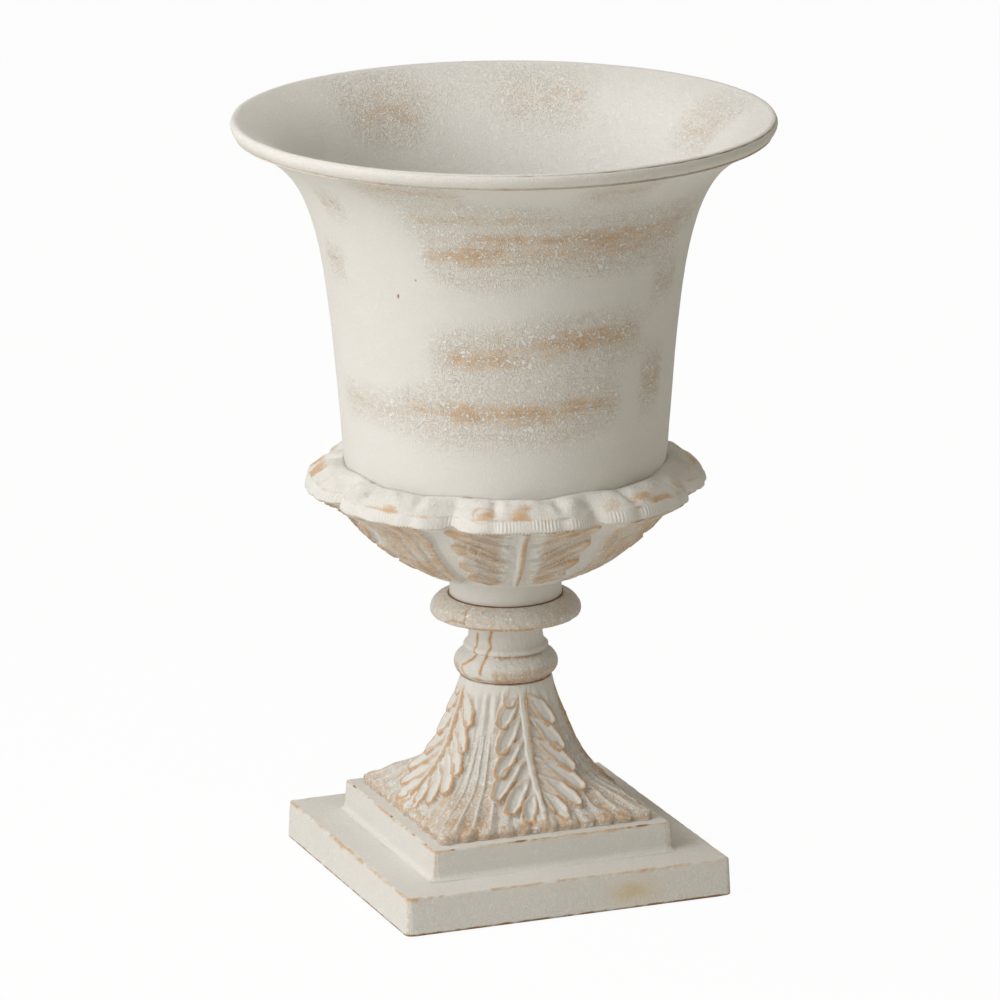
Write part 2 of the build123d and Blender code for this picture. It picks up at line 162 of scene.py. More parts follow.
def finished(piece, places, rub, line, grain, stain, *nodes):
    """Writes the places back, with how rubbed, lined, grainy and stained each is, and fits the
    piece in the place of its nodes."""
    piece.data.vertices.foreach_set("co", (places * mm).astype(np.float32).ravel())
    wear = piece.data.attributes.new("wear", "FLOAT_COLOR", "POINT")
    values = np.stack([np.broadcast_to(v, len(places)) for v in (rub, line, grain, stain)], 1)
    wear.data.foreach_set("color", np.clip(values, 0, 1).astype(np.float32).ravel())
    piece.data.update()
    piece.data.materials.append(whitewash)
    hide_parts(*nodes)
    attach(piece, "root")


def linear(code):
    """Hex colour turned into linear light."""
    parts = [int(code[i:i + 2], 16) / 255 for i in (1, 3, 5)]
    return [p / 12.92 if p <= 0.04045 else ((p + 0.055) / 1.055) ** 2.4 for p in parts] + [1]


def add(tree, kind, settings, inputs):
    """Adds a node with its own settings, and a value or a link on each input."""
    node = tree.nodes.new("ShaderNode" + kind)
    for name, value in settings.items():
        setattr(node, name, value)
    for key, value in inputs.items():
        if isinstance(value, bpy.types.NodeSocket):
            tree.links.new(value, node.inputs[key])
        else:
            node.inputs[key].default_value = value
    return node


def empty_tree(owner):
    """Node tree of a material or a world, with nothing in it yet."""
    owner.use_nodes = True
    owner.node_tree.nodes.clear()
    return owner.node_tree


def new_finish(name):
    """Material without nodes, its tree, and the place on the piece in metres."""
    finish = bpy.data.materials.new(name)
    tree = empty_tree(finish)
    return finish, tree, add(tree, "TexCoord", {}, {}).outputs["Object"]


def noise(tree, place, scale, detail=2, roughness=0.5, distortion=0):
    """Noise from 0 to 1, whose grain is about 1000 / scale mm across."""
    inputs = {"Vector": place, "Scale": scale, "Detail": detail, "Roughness": roughness,
              "Distortion": distortion}
    return add(tree, "TexNoise", {}, inputs).outputs[0]


def figured(tree, operation, *values, clamp=False):
    """Sum on values or links."""
    settings = {"operation": operation, "use_clamp": clamp}
    return add(tree, "Math", settings, dict(enumerate(values))).outputs[0]


def faded(tree, value, low, high):
    """The smooth step of fade, on a link."""
    inputs = {0: value, 1: low, 2: high}
    return add(tree, "MapRange", {"interpolation_type": "SMOOTHSTEP"}, inputs).outputs[0]


def ranged(tree, value, low, high, first, last):
    """Straight change from first at low to last at high."""
    return add(tree, "MapRange", {}, {0: value, 1: low, 2: high, 3: first, 4: last}).outputs[0]


def tinted(tree, share, under, over):
    """Colour that turns from one to the other with the share."""
    return add(tree, "Mix", {"data_type": "RGBA"}, {0: share, 6: under, 7: over}).outputs[2]


def bumped(tree, height, distance):
    """Shading of a height, which is given in units of the distance."""
    return add(tree, "Bump", {}, {"Height": height, "Distance": distance, "Strength": 1}).outputs[0]


def surfaced(tree, sockets):
    """Puts a principled surface with these sockets on the material."""
    shader = add(tree, "BsdfPrincipled", {}, sockets)
    add(tree, "OutputMaterial", {}, {"Surface": shader.outputs[0]})


# Whitewash over tan paint on cast metal: matt, brushed on and dabbed, so that it dries in raised
# strings and specks. Where it was rubbed back, the tan lies bare between and under them.
whitewash, tree, place = new_finish("rubbed_whitewash")
wear = add(tree, "Attribute", {"attribute_name": "wear"}, {})
split = add(tree, "SeparateColor", {}, {0: wear.outputs["Color"]})
rub, line, grain = split.outputs[0], split.outputs[1], split.outputs[2]
stain = wear.outputs["Alpha"]
wash_white, wash_shade, wash_crest = linear("#EAE9E6"), linear("#E0DFDB"), linear("#F0EFEC")
thin_wash_and_low_shade, pale_tan, deep_tan = linear("#D3C4AD"), linear("#DCC8B1"), linear("#CEA983")
crack_brown_and_joint_shade, stain_yellow = linear("#A07A58"), linear("#D9B866")
# Heights of the relief in millimetres
string_height, wash_depth, stroke_height, blotch_height = 0.3, 0.07, 0.05, 0.16
fine_height, crack_depth = 0.05, 0.15
# Strings of dried wash: thin lines where a noise crosses its middle, broken here and there
string = noise(tree, place, 430, 1, 0.35, 1.1)
string = figured(tree, "SUBTRACT", string, 0.5)
string = figured(tree, "ABSOLUTE", string)
string = faded(tree, string, 0.07, 0.02)
broken = faded(tree, noise(tree, place, 520, 0), 0.4, 0.5)
string = figured(tree, "MULTIPLY", string, broken)
# Specks of 1 mm, blotches of 6 mm, clouds of 45 mm, level brush marks of 1.5 mm, a fine grain
speck = faded(tree, noise(tree, place, 980, 1, distortion=0.5), 0.57, 0.66)
raised = figured(tree, "MAXIMUM", string, speck)
blotch = noise(tree, place, 160, 4, 0.6)
cloud = noise(tree, place, 22)
stroke = add(tree, "Mapping", {}, {"Vector": place, "Scale": (45, 45, 650)}).outputs[0]
stroke = noise(tree, stroke, 1, 3, 0.6)
fine = noise(tree, place, 2200, 1)
# How bare it is rubbed: the attribute, made ragged by blotches and brush marks
ragged = figured(tree, "ADD", blotch, stroke)
ragged = figured(tree, "SUBTRACT", ragged, 1.0)
reach = figured(tree, "MULTIPLY", rub, 4.0, clamp=True)
ragged = figured(tree, "MULTIPLY", ragged, reach)
solid = ranged(tree, rub, 0.45, 0.9, 0.9, 0.4)
worn = figured(tree, "MULTIPLY_ADD", ragged, solid, rub)
soft = faded(tree, worn, 0.08, 0.72)
# The raised strings and specks stay white on the tan, fewer where it is rubbed hardest
cover = ranged(tree, worn, 0.6, 1.0, 1.0, 0.6)
cover = figured(tree, "MULTIPLY", cover, raised)
cover = figured(tree, "MULTIPLY", cover, grain, clamp=True)
bare = figured(tree, "SUBTRACT", soft, cover, clamp=True)
cut = figured(tree, "MULTIPLY_ADD", blotch, 0.35, line)
cut = faded(tree, cut, 0.42, 0.75)
# Colours: warm white with faint clouds, painted shade in the low places beside its crests, warmed
# by the tan under the thinner wash there, sandy tan, brown in the cracks and as painted shade in
# the joint under the cup's neck, and a yellowish stain
white = tinted(tree, cloud, wash_white, wash_shade)
tan = tinted(tree, faded(tree, worn, 0.5, 1.0), pale_tan, deep_tan)
# Painted shade: the low places between the raised strings are darkened towards a greyish tan, where
# the thinner wash also lets the tan show
low = figured(tree, "SUBTRACT", 1.0, raised)
low = figured(tree, "MULTIPLY", low, grain)
low = figured(tree, "MULTIPLY", low, 0.24)
white = tinted(tree, low, white, thin_wash_and_low_shade)
crest = figured(tree, "MULTIPLY", raised, grain, clamp=True)
white = tinted(tree, crest, white, wash_crest)
tone = tinted(tree, bare, white, tan)
# Brown in the cracks and lines, which also serves as painted shade in the joint where the stem's
# disc meets the cup's neck
tone = tinted(tree, cut, tone, crack_brown_and_joint_shade)
tone = tinted(tree, figured(tree, "MULTIPLY", stain, blotch), tone, stain_yellow)
relief = figured(tree, "MULTIPLY", crest, string_height)
for part, height in ((bare, -wash_depth), (stroke, stroke_height), (blotch, blotch_height),
                     (fine, fine_height), (cut, -crack_depth)):
    relief = figured(tree, "MULTIPLY_ADD", part, height, relief)
surfaced(tree, {"Base Color": tone, "Roughness": ranged(tree, bare, 0, 1, 0.86, 0.72),
                "Normal": bumped(tree, relief, mm), "IOR": 1.45, "Specular IOR Level": 0.35})

# Outline, distance from the axis against height: foot, side, rolled lip, inside and floor
bell_foot = curve((24, 145.4), (50, 145.4), (71.6, 168), (72.5, 203), 26)
bell_side = curve((72.5, 203), (79.9, 303), (83.9, 324), (118, 338.9), 74)
bell_lip = [
    (117.5, 339.3), (117.9, 339.7), (118.7, 340.3), (119.4, 341.3), (119.8, 342.3),
    (119.95, 343.3), (119.85, 344.3), (119.6, 344.9), (119.25, 345.1), (119.2, 345.3),
    (119.3, 345.5), (119.0, 345.8), (118.4, 345.95), (117.6, 345.95), (116.6, 345.6),
]
bell_inside = curve((116.6, 345.6), (79.5, 330.4), (75.5, 303), (68.1, 203), 56)
bell_floor = curve((68.1, 203), (65.6, 172), (50, 149), (24, 149), 18)
bell_outline = run([(bore, 145.4)], bell_foot, bell_side, bell_lip, bell_inside, bell_floor,
                   [(bore, 149)])
lip_start = len(bell_foot) + len(bell_side)
lip_end = lip_start + len(bell_lip)
# Rubbed places: turn from the front, half width, height, half height and strength. Most of the
# outside ones are in the photo, and the last six are on the back.
outside_rubs = [
    (-7, 24, 319.5, 2.2, 0.5), (18, 40, 309, 6, 0.42), (-12, 11, 302, 3.6, 0.62),
    (8, 26, 310, 1.8, 0.45), (15, 42, 301, 6, 0.35), (40, 22, 306, 6, 0.35),
    (62, 14, 312, 5, 0.25), (-6, 16, 290, 3, 0.2), (-9, 15, 254, 5, 0.6),
    (28, 22, 262, 4.6, 0.55), (12, 40, 259, 8, 0.35), (5, 35, 243, 3, 0.12),
    (4, 34, 231, 5.2, 0.5), (0, 20, 229, 4, 0.5), (30, 12, 233, 3.5, 0.5),
    (-22, 18, 230, 4, 0.4), (0, 45, 220, 7, 0.22), (60, 9, 282, 6, 0.35),
    (58, 8, 237, 10, 0.45), (-54, 7, 320, 3, 0.35), (-64, 8, 290, 4.5, 0.35),
    (-54, 20, 227.5, 3.2, 0.35), (-60, 12, 262, 3, 0.12), (-24, 16, 334.5, 1.8, 0.5),
    (28, 12, 333, 1.8, 0.4), (150, 35, 300, 6, 0.5), (-140, 30, 262, 5, 0.6),
    (170, 40, 232, 5, 0.6), (100, 18, 255, 6, 0.4), (-100, 20, 240, 5, 0.4),
    (-110, 18, 312, 4, 0.4),
]
inside_rubs = [
    (-144, 14, 331, 7, 0.36), (-148, 10, 327, 4, 0.2), (168, 15, 331, 7, 0.25),
    (113, 14, 333, 8, 0.3), (-165, 40, 338, 5, 0.15), (0, 30, 330, 6, 0.4),
]
dark_pits = [(-35, 281), (-31, 286), (-28, 289.5), (-25, 284), (-33, 290), (-26, 280)]
pit_radius = 0.7
wave_depth, ripple_depth = 0.13, 0.05


def rubbed(turn, level, rubs, edge):
    """How rubbed each place is, from a list of rubbed patches with soft ends."""
    left = np.ones(len(turn))
    for at, half_width, height, half_height, strength in rubs:
        across = np.abs(wrapped(turn - at)) / half_width
        up = np.abs(level - height) / (half_height + edge)
        left *= 1 - strength * (1 - fade(across, 0.35, 1.35)) * (1 - fade(up, 0.2, 1.35))
    return 1 - left


bell = turned("bell_dressed", bell_outline, bell_steps)
ring = rings_of(bell)
spot = places_of(bell)
out, azimuth, turn = about_axis(spot)
outer = ring <= lip_start
inner = ring >= lip_end
# Hand-smoothed metal: shallow waves, and none that stand out past the rim
sag = wave_depth * (uneven(spot, 34, 3) - 1)
sag += ripple_depth * (uneven(spot * (1, 1, 2.5), 16, 4) - 1)
sag *= fade(spot[:, 2], 160, 215)
spot[:, :2] *= (1 + np.where(inner, -0.3, 1) * sag / out)[:, None]
shift = 1.2 * uneven(spot, 14, 5)
rub_out = rubbed(turn + 2 * uneven(spot, 9, 6), spot[:, 2] + shift * 0.8, outside_rubs, 1.0)
rub_in = rubbed(turn, spot[:, 2] + shift, inside_rubs, 1.5)
rub_now = np.where(outer, rub_out, np.where(inner, rub_in, 0.0))
# On the lip: the tan groove below it, a fine dark line near its top and a worn edge above that
groove = between(ring, lip_start, lip_start + 1)
hair = between(ring, lip_start + 8, lip_start + 9)
worn_rim = between(ring, lip_start + 10, lip_start + 12)
hair_strength = 0.25 * fade(turn, -20, 50) * (1 - fade(turn, 90, 140))
line_now = np.where(groove, 0.22 + 0.08 * uneven(spot, 12, 7), 0)
line_now = np.where(hair, 0.2 + hair_strength + 0.12 * uneven(spot, 9, 8), line_now)
rub_now = np.where(worn_rim, 0.1 + 0.3 * uneven(spot, 8, 9), rub_now)
rub_now = np.where(groove, 0.62, rub_now)
# Small dark pits at the left of the front
for at, level in dark_pits:
    away = np.hypot(np.radians(turn - at) * out, spot[:, 2] - level)
    pit = 0.8 * mound(away, 0, pit_radius)
    line_now = np.where(outer, np.maximum(line_now, pit), line_now)
# The dabbed grain is strongest round the rubbed patches
grain_out = 0.14 + fade(rubbed(turn, spot[:, 2], outside_rubs, 9), 0.05, 0.55)
grain_in = 0.3 + 0.8 * fade(rubbed(turn, spot[:, 2], inside_rubs, 9), 0.05, 0.4)
grain_now = np.where(inner, grain_in, np.where(outer, grain_out, 0.25))
finished(bell, spot, rub_now, line_now, grain_now, 0.0, "bell")

# Leaf cup: the lower casting that carries the bell. Broad leaves with lobed sides take turns with
# narrow fluted ones, crisp from the mould, over a short plain neck. The tan shows on every crest.
cup_steps = 864
first_leaf = -105.5
leaf_foot, leaf_tip = (38, 142), (87.2, 179.9)
tip_reach, valley_depth = 88.9, 5.4
leaf_plate = 2.2
strip = 5
broad_half_turn = 25.5
lobe_pitch, lobe_slant, lobe_hook, lobe_start = 11.3, 0.65, 2.2, 0.38
rib_rise, lobe_groove = 0.7, 1.5
flute_pitch = 6.6
cup_neck = run([(bore, 129.0), (23.6, 129.0), (24.7, 129.0), (25.1, 129.5)],
               curve((25.1, 129.5), (24.9, 134), (24.9, 138), (25.4, 139.0), 6),
               curve((25.4, 139.0), (25.7, 140.4), (27, 141.0), (29.5, 141.1), 5),
               [(31.5, 141.1), (33.8, 141.2), (36, 141.5)])
cup_leaf = np.array(run(curve(leaf_foot, (48, 147.4), (60, 153.5), (72, 169.3), 56),
                        curve((72, 169.3), (76, 173.6), (82, 176.6), leaf_tip, 26)))
cup_top = [(86.0, 181.6), (81.5, 183.4), (77, 184.6), (74.2, 185)]
cup_seat = [p + (0.3, -0.3) for p in bell_foot[::-2] if p[1] < 184]
cup_outline = run(cup_neck, cup_leaf, cup_top, cup_seat, [(bore, 145.1)])
leaf_start = len(cup_neck)
leaf_end = leaf_start + len(cup_leaf)
cup = turned("leaf_cup_dressed", cup_outline, cup_steps)
ring = rings_of(cup)
spot = places_of(cup)
out, azimuth, turn = about_axis(spot)
on_leaf = (ring >= leaf_start) & (ring < leaf_end)


def beside_leaf(azimuth, first, count):
    """Turn away from the nearest of some leaves that stand evenly round."""
    return wrapped(count * (azimuth - first)) / count


def collar_tip(azimuth):
    """How far the collar's lip stands out from the axis: eight lobes with narrow valleys."""
    sideways = np.abs(beside_leaf(azimuth, first_leaf, 8)) / 22.5
    return tip_reach - valley_depth * fade(sideways, 0.5, 1.05) ** 1.2


step = np.clip(ring - leaf_start, 0, len(cup_leaf) - 1)
skin = cup_leaf[step]
slope = np.gradient(cup_leaf, axis=0)
slope /= np.hypot(slope[:, 0], slope[:, 1])[:, None]
outwards = np.stack([slope[:, 1], -slope[:, 0]], 1)[step]
along = np.hypot(skin[:, 0] - leaf_foot[0], skin[:, 1] - leaf_foot[1])
rough_along = along + 0.35 * uneven(spot, 6, 21)
# Broad leaf: raised midrib, plain strips beside it, then lobes that hook upwards at the edge
aside = np.radians(beside_leaf(azimuth, first_leaf, 4)) * skin[:, 0]
wide = np.abs(aside) + 0.3 * uneven(spot, 7, 22)
edge = np.radians(broad_half_turn) * skin[:, 0]
share = np.clip((wide - strip) / (edge - strip), -0.5, 1.5)
hooked = rough_along - lobe_slant * wide + lobe_hook * fade(share, 0.6, 1.1)
lobe = hooked / lobe_pitch + lobe_start
off = np.abs(lobe - np.floor(lobe) - 0.5)
open_share = 0.15 + 0.16 * fade(share, 0.3, 1.0)
past_side = (0.5 - open_share / 2 - off) * lobe_pitch
past_end = (1.02 - 0.3 * (2 * off) ** 2 - share) * (edge - strip)
inside = np.minimum(past_side, past_end)
lobe_rise = fade(inside, 0, 0.7) * fade(share, -0.12, 0.1)
# Each lobe has a groove down its middle and a shorter, fainter one at each side
middle_groove = 1 - fade(off * lobe_pitch, 0.55, 1.25)
middle_groove *= fade(share, 0.0, 0.12) * (1 - fade(share, 0.72, 0.86))
side_groove = 1 - fade(np.abs(off * lobe_pitch - 2.9), 0.15, 0.55)
side_groove *= fade(share, 0.1, 0.25) * (1 - fade(share, 0.55, 0.8)) * 0.7
tongue = np.maximum(middle_groove, side_groove)
in_broad = 1 - fade(wide - edge, -0.3, 0.5)
lobe_height = (leaf_plate - 0.1) * lobe_rise - lobe_groove * tongue * lobe_rise
height = -leaf_plate + in_broad * (0.3 + lobe_height)
lobe_rub = 0.7 + 0.2 * fade(0.9 - np.abs(inside - 0.9), 0, 0.6)
rub_now = in_broad * lobe_rise * (1 - tongue) * lobe_rub * fade(share, 0.0, 0.25)
centre_half = 1.1 + 0.5 * along / 43
middle = 1 - fade(np.abs(aside), centre_half - 0.2, centre_half + 0.9)
height = np.maximum(height, -leaf_plate + (leaf_plate + rib_rise) * middle)
midrib_rub = 0.78 * fade(aside, -centre_half * 0.5, 0.2)
midrib_rub *= 1 - fade(aside, centre_half, centre_half + 0.9)
rub_now = np.where(middle > 0.3, midrib_rub, rub_now)
# Narrow leaf: four flutes side by side
beside = beside_leaf(azimuth, first_leaf + 45, 4)
flute = beside / flute_pitch + 2
off = np.abs(flute - np.floor(flute) - 0.5) * np.radians(flute_pitch) * skin[:, 0]
half = 0.5 * np.radians(flute_pitch) * skin[:, 0]
in_narrow = 1 - fade(np.abs(beside) - 2 * flute_pitch, -0.35, 0.15)
flute_rise = 1 - fade(off - half, -1.3, -0.5)
flute_height = 0.9 + 1.3 * flute_rise + 0.35 * np.sin(1.2 * (1 - off / half))
height = np.maximum(height, -leaf_plate + in_narrow * flute_height)
flute_rub = in_narrow * flute_rise * (0.7 + 0.18 * uneven(spot, 9, 23))
rub_now = np.maximum(rub_now, flute_rub)
# Leaves thin out at the smooth bottom and run up under the collar
begin = fade(rough_along + 1.2 * np.cos(np.radians(beside) * 27), 2.2, 4.6)
height = -leaf_plate + (height + leaf_plate) * begin
height += leaf_plate * (1 - fade(along, 0, 2.5))
rub_now *= begin * (0.95 + 0.22 * uneven(spot, 22, 24))
height = np.where(on_leaf, height + 0.08 * uneven(spot, 5, 25), 0)
shifted = skin + outwards * height[:, None]
way = spot[:, :2] / out[:, None]
drawn_in = leaf_tip[0] - (collar_tip(azimuth) - 1.2)
drawn_in = drawn_in * fade(np.where(on_leaf, along, 0), 44, 61)
leaf_place = way * (shifted[:, :1] - drawn_in[:, None])
spot[:, :2] = np.where(on_leaf[:, None], leaf_place, spot[:, :2])
spot[:, 2] = np.where(on_leaf, shifted[:, 1], spot[:, 2])
near_lip = (ring >= leaf_end) & (out > 80)
lip_place = way * (collar_tip(azimuth) - 3.5 - (86 - out))[:, None]
spot[:, :2] = np.where(near_lip[:, None], lip_place, spot[:, :2])
rub_now = np.where(on_leaf, rub_now, 0)
# Painted shade: the underside of the neck, where it sits on the stem's disc, is coloured brown as
# the shade in the joint's gap
line_now = np.where(ring <= 2, 0.5, 0.0)
grain_now = np.where(on_leaf, 0.3 + 0.35 * in_narrow, 0.15)
finished(cup, spot, rub_now, line_now, grain_now, 0.0, "leaf_cup")

# Collar: eight leaf tips turned down over the cup and cast with it, notched where two meet. Each
# has soft swells and a lip with fine upright ribs. Their tops meet the bell in a broken crease.
collar_steps = 1760
ribs_per_lobe = 44
crease_level, lip_top, lip_bottom = 190.9, 186, 180.2
lip_height, lip_curl, under_drop = 5.3, 2.4, 6.8
notch_depth, notch_lift = 1.9, 0.9
rib_depth = 0.27
top_rows, band_rows, under_rows = 20, 9, 9
under_start = top_rows + band_rows
collar_outline = [(72.0 + 14 * t, 194 - 8 * t) for t in np.linspace(0, 1, top_rows)]
collar_outline += [(86.5 + 2.5 * t, lip_top - lip_height * t)
                   for t in np.linspace(0.08, 1, band_rows)]
collar_outline += [(88.6 - 19.6 * t, lip_bottom - under_drop * t)
                   for t in np.linspace(0, 1, under_rows)]
collar_outline += [(69.2, 175.5), (69.6, 178), (70.3, 182), (71.2, 189)]
collar = turned("collar", collar_outline, collar_steps)
ring = rings_of(collar)
spot = places_of(collar)
out, azimuth, turn = about_axis(spot)
is_top = ring < top_rows
is_band = (ring >= top_rows) & (ring < under_start)
is_under = (ring >= under_start) & (ring < under_start + under_rows)
beside = beside_leaf(azimuth, first_leaf, 8)
sideways = np.abs(beside) / 22.5
valley = fade(sideways, 0.35, 1.02) ** 1.3
notch = fade(sideways, 0.84, 0.99)
tip = collar_tip(azimuth) - notch_depth * notch
# Top of each lobe: three swells parted by two furrows, flat in the valley beside it
crease = crease_level + 1.1 * fade(sideways, 0.25, 1.0) + 0.5 * uneven(spot, 30, 31)
furrow = mound(beside, -9, 1.7) + 0.8 * mound(beside, 11, 2.0)
swell = np.cos(np.radians(beside + 0.5) * 18) * 0.5 + 0.5
t = np.clip(ring / (top_rows - 1), 0, 1)
rise_mid = crease + 1.0 * np.sin(pi * t) - (crease - lip_top) * t ** 1.8
rise_low = crease - (crease - 185.5) * t ** 0.8
top_height = rise_mid * (1 - valley) + rise_low * valley
full_middle = np.sin(pi * np.clip(t * 1.05, 0, 1)) ** 0.8
top_height += (1.3 * swell - 2.4 * furrow) * full_middle * (1 - valley)
top_height += 0.6 * uneven(spot, 10, 32) * np.sin(pi * t)
top_out = np.where(ring == 0, 71.3, 72.2 + (tip - lip_curl - 72.2) * t)
# Lip: curled over, with upright ribs that are plain in places
tip_now = tip - 0.8 * furrow + 0.35 * uneven(spot, 12, 33)
band = np.clip((ring - top_rows + 1) / band_rows, 0, 1)
band_height = lip_top - 0.5 * valley - (lip_height - notch_lift * notch) * band
band_height += 0.3 * uneven(spot, 10, 34)
rib_wave = np.cos(np.radians(azimuth) * ribs_per_lobe * 8 + 1.3 * uneven(spot, 7, 35))
rib_show = fade(uneven(spot, 15, 36), -0.4, 0.6) * np.sin(pi * np.clip(band, 0.02, 1)) ** 0.5
band_out = (tip_now - lip_curl) + lip_curl * np.sin(pi / 2 * band) + rib_depth * rib_wave * rib_show
under = np.clip((ring - under_start) / (under_rows - 1), 0, 1)
under_out = (tip_now - 0.5) + (69 - tip_now + 0.5) * under
under_height = lip_bottom + notch_lift * notch * (1 - under) - under_drop * under
new_out = np.select([is_top, is_band, is_under], [top_out, band_out, under_out], out)
spot[:, :2] *= (new_out / out)[:, None]
spot[:, 2] = np.select([is_top, is_band, is_under], [top_height, band_height, under_height],
                       spot[:, 2])
# Tan on the swells near the lip, along the lip's upper edge, in its ribs and in dots below it
tan_near = fade(t, 0.3, 0.85) * fade(uneven(spot, 15, 37) + 0.5 * swell, 0.0, 0.75)
tan_near *= 1 - valley
rub_now = np.where(is_top, 0.12 * fade(uneven(spot, 20, 38), 0, 1) + 0.85 * tan_near, 0)
edge_rub = np.maximum(rub_now, 0.25 + 0.35 * uneven(spot, 6, 39))
rub_now = np.where(between(ring, top_rows - 1, top_rows), edge_rub, rub_now)
rib_rub = 0.3 * fade(uneven(spot, 11, 40), 0, 0.8) * (0.5 - 0.5 * rib_wave)
rub_now = np.where(is_band, rub_now + rib_rub, rub_now)
dot_rub = 0.25 + 0.6 * fade(rib_wave, -0.2, 0.7)
rub_now = np.where(between(ring, under_start - 1, under_start), dot_rub, rub_now)
line_now = np.where(ring <= 1, 0.12 + 0.3 * uneven(spot, 13, 41), 0)
line_now = np.where(is_under & (under > 0.95), 0.3, line_now)
# Small oval mark of the mould at the left of the middle leaf
oval = np.hypot(np.radians(turn + 6.7) * new_out / 4.5, (spot[:, 2] - 187.2) / 2.5)
oval_rub = np.maximum(rub_now, 0.6 * mound(oval, 1, 0.2))
rub_now = np.where(is_top | is_band, oval_rub, rub_now)
finished(collar, spot, rub_now, line_now, np.where(is_top, 0.35, 0.2), 0.0, "leaf_cup")

# Stem: knop, bead, neck and rolled disc, cast in one piece and seated on the foot by a spigot.
# Thick wash cracked over its left side, and the tan stands in the grain of the knop and the disc.
stem_steps = 480
seam = 91.6
crack_width, crack_edge = 0.5, 0.95
disc_edge_level, groove_level, knop_foot_level = 120.6, 103.6, 93.2
stem_outline = run(
    [(bore, seam), (19.6, seam), (20.1, seam + 0.4), (20.4, seam + 0.9)],
    curve((20.4, seam + 0.9), (22.6, 93.6), (23.5, 95.6), (23.4, 97.6), 12),
    curve((23.4, 97.6), (23.3, 100.2), (21.4, 102.2), (18.3, 103.4), 14),
    [(18.0, 103.7)],
    curve((18.0, 103.7), (19.4, 104.2), (19.4, 106.2), (17.9, 106.9), 9),
    curve((17.9, 106.9), (16.9, 107.6), (16.7, 109), (16.7, 111), 7),
    curve((16.7, 111), (16.7, 114.5), (16.8, 119.5), (20.2, 119.8), 12),
    curve((20.2, 119.8), (24, 119.9), (28, 119.8), (32.0, 119.9), 9),
    curve((32.0, 119.9), (33.4, 120.1), (33.9, 121.2), (33.8, 122.3), 7),
    curve((33.8, 122.3), (33.5, 126.4), (29.5, 128.9), (25.0, 129.0), 18),
    [(22, 129.0), (bore, 129.0)])
# Cracks, as turns from the front and heights; the last is on the back
stem_cracks = [
    [(-17, 119.7), (-26, 111.1), (-22, 107.8), (-28, 103.6), (-28, 100.4), (-29, 97.1)],
    [(-48, 113.2), (-50, 108.8), (-47, 105), (-45, 102.2), (-51, 100.3), (-57, 99.1)],
    [(-57, 98), (-51, 94.1)],
    [(-34, 127.8), (-33, 122.3), (-35, 122.7), (-43, 123), (-56, 120.3)],
    [(140, 112), (150, 104), (143, 98)],
]


def crack_near(turn, level, out, path):
    """Distance to a crack drawn through places given as turn and height."""
    nearest = np.full(len(turn), 99.0)
    for (turn_a, level_a), (turn_b, level_b) in zip(path, path[1:]):
        ax, bx = np.radians(turn_a) * out, np.radians(turn_b) * out
        x, y = np.radians(turn) * out - ax, level - level_a
        run_x, run_y = bx - ax, level_b - level_a
        part = np.clip((x * run_x + y * run_y) / (run_x ** 2 + run_y ** 2), 0, 1)
        nearest = np.minimum(nearest, np.hypot(x - part * run_x, y - part * run_y))
    return nearest


stem = turned("stem_dressed", stem_outline, stem_steps)
rings_of(stem)
spot = places_of(stem)
out, azimuth, turn = about_axis(spot)
level = spot[:, 2]
outside = out > 16
ridge = 0.14 * uneven(spot, 7, 51) + 0.1 * uneven(spot, 3, 52)
spot[:, :2] *= (1 + np.where(outside, ridge - 0.1, 0) / out)[:, None]
line_now, crack_rub = np.zeros(len(spot)), np.zeros(len(spot))
jitter = 0.5 * uneven(spot, 4, 53)
for path in stem_cracks:
    away = crack_near(turn + jitter, level + jitter * 0.6, out, path)
    line_now = np.maximum(line_now, 0.4 * mound(away, 0, crack_width))
    crack_rub = np.maximum(crack_rub, 0.95 * mound(away, 0, crack_edge))
# The cracked left side is smooth. Grain covers the disc, the knop's lower half and less its upper.
smooth_left = fade(turn, -66, -56) * (1 - fade(turn, -20, -10))
disc = fade(level, 118.5, 119.8)
knop_low = (1 - fade(level, 97.5, 100)) * (1 - 0.9 * smooth_left)
knop_high = fade(level, 98, 100) * (1 - fade(level, 104, 107)) * (1 - smooth_left)
grain_now = 0.25 + 0.95 * np.maximum(disc, knop_low) + 0.4 * knop_high
rub_now = 0.33 * disc + 0.6 * knop_low + 0.1 * fade(uneven(spot, 8, 54), 0, 1)
# Tan along the disc's lower edge, in the groove over the knop, at its foot and in one bare spot
disc_edge = mound(level, disc_edge_level, 0.8) * fade(out, 31, 33)
rub_now += disc_edge * (0.25 + 0.45 * fade(turn, -36, -28) * (1 - fade(turn, 20, 32)))
groove = mound(level, groove_level, 0.8)
rub_now += 0.8 * groove * fade(turn, -22, -14) * (1 - fade(turn, 56, 66))
rub_now += 0.35 * mound(level, knop_foot_level, 1.1)
bare_spot = 0.95 * mound(np.radians(turn + 36) * out, 0, 4.5) * mound(level, 93.6, 1.5)
rub_now = np.maximum(rub_now, np.maximum(bare_spot, crack_rub))
line_now = np.maximum(line_now, np.where(level < seam + 0.5, 0.5, 0))
# Painted shade: the top of the disc, where the cup's neck sits on it, is coloured brown as the
# shade in the joint's gap
line_now = np.maximum(line_now, np.where((level > 128.9) & (out < 25.8), 0.6, 0))
finished(stem, spot, np.where(outside, rub_now, 0), line_now, grain_now, 0.0, "stem")

# Flare of the foot: four face leaves with fingers lie over four fanned corner leaves with
# scalloped ends. It is cast in one with the step and the plinth and is hollow underneath.
flare_steps = 768
flare_rows = 108
foot_half = 51
foot_limit = 52.4
thin_rib_height, thin_rib_sink = 0.95, 0.25
scallop_pitch = 8.8
finger_rise, finger_dish, plate_rise, spine_rise = 2.3, 1.1, 1.0, 3.1
